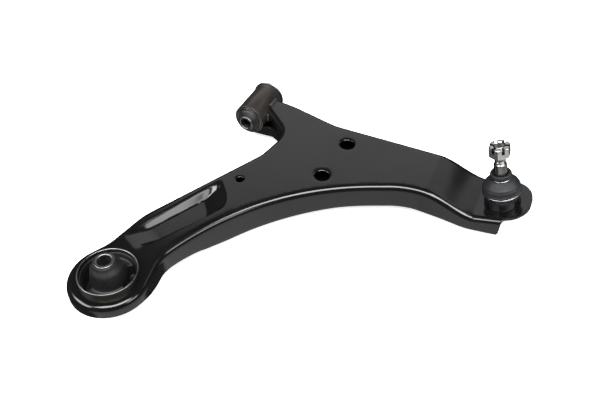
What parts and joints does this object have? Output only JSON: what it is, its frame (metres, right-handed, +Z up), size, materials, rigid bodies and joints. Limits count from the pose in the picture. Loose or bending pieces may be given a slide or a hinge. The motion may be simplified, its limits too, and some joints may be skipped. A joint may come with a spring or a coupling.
{
  "type": "lower control arm",
  "caption": "Stamped steel L-shaped lower suspension arm with a horizontal front bush, an upright rear bush and a ball joint with a castle nut.",
  "frame": {"origin": "centre of the front bush's bore", "axes": "+Y along the swing axis from the rear bush to the front bush, +X outboard to the ball joint, +Z up"},
  "size_m": [0.403, 0.4015, 0.1053],
  "materials": {
    "ecoat_black": "satin black electrocoat over stamped steel",
    "tube_black": "semi-gloss black paint on tube",
    "weld_black": "gloss black paint over weld bead",
    "bush_shell_steel": "dark phosphated steel with a bright worn rim",
    "sleeve_steel": "plain turned steel",
    "bush_rubber": "matte black moulded rubber",
    "boot_rubber": "dull blue-black moulded rubber",
    "housing_black": "gloss black paint over forged steel",
    "ring_steel": "bright spring steel",
    "stud_steel": "ground steel",
    "zinc": "zinc plated",
    "acetal": "moulded acetal"
  },
  "bodies": {
    "arm": {"upper_stamping": "ecoat_black", "lower_plate": "ecoat_black", "front_tube": "tube_black", "front_saddle": "ecoat_black", "rear_collar": "ecoat_black", "tube_welds": "weld_black", "plate_welds": "weld_black", "housing_weld": "weld_black", "front_bush_shell": "bush_shell_steel", "front_bush_rubber": "bush_rubber", "rear_bush_shell": "bush_shell_steel", "rear_bush_rubber": "bush_rubber", "ball_housing": "housing_black", "ball_socket": "acetal", "pressure_disc": "acetal", "preload_spring": "ring_steel", "end_cap": "housing_black", "dust_boot": "boot_rubber", "boot_lower_ring": "ring_steel"},
    "front_sleeve": {"front_inner_sleeve": "sleeve_steel"},
    "rear_sleeve": {"rear_inner_sleeve": "sleeve_steel"},
    "liner": {"ball_liner": "acetal"},
    "boot_neck": {"boot_upper_ring": "ring_steel"},
    "stud": {"ball_stud": "stud_steel", "castle_nut": "zinc"}
  },
  "joints": [
    {"name": "front_bush_twist", "type": "hinge", "parent": "arm", "child": "front_sleeve", "pos_m": [0, 0, 0], "axis": [0, 1, 0], "range_deg": [-18, 18], "stiffness_Nm_per_rad": 40, "deforming": ["front_bush_rubber"]},
    {"name": "rear_bush_tilt", "type": "hinge", "parent": "arm", "child": "rear_sleeve", "pos_m": [0, -0.322, 0.002], "axis": [0, 1, 0], "range_deg": [-18, 18], "stiffness_Nm_per_rad": 40, "deforming": ["rear_bush_rubber"]},
    {"name": "ball_swing_travel", "type": "hinge", "parent": "arm", "child": "liner", "pos_m": [0.3287, -0.0415, 0.00775], "axis": [0, 1, 0], "range_deg": [-22, 22], "deforming": ["dust_boot"]},
    {"name": "ball_swing_fore_aft", "type": "hinge", "parent": "liner", "child": "boot_neck", "pos_m": [0.3287, -0.0415, 0.00775], "axis": [0.9681, 0, 0.2504], "range_deg": [-18, 18]},
    {"name": "ball_stud_spin", "type": "hinge", "parent": "boot_neck", "child": "stud", "pos_m": [0.3287, -0.0415, 0.00775], "axis": [-0.2504, 0, 0.9681], "continuous": true}
  ],
  "couplings": [
    {"joint": "rear_bush_tilt", "follows": "front_bush_twist", "ratio": 1}
  ]
}
